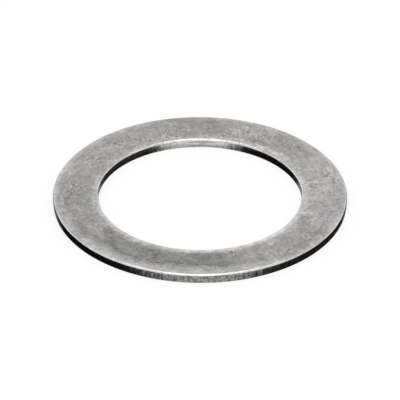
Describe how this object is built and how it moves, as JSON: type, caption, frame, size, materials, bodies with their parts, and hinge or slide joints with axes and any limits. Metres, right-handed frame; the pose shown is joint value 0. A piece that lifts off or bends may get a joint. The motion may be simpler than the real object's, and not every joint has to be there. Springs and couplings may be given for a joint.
{
  "type": "shim ring",
  "caption": "Flat steel shim ring, blanked from strip: a thin annular spacer that takes up end play between a bearing and a shoulder.",
  "frame": {"origin": "centre of the bore on the bottom (burr-side) face", "axes": "+Z along the ring's axis, from the bottom face towards the rolled top face"},
  "size_m": [0.0318, 0.0318, 0.0011],
  "materials": {
    "steel": "bare, satin mill finish on the faces, sheared and dull on the cut edges"
  },
  "bodies": {
    "root": {"shim_ring": "steel"}
  },
  "joints": []
}
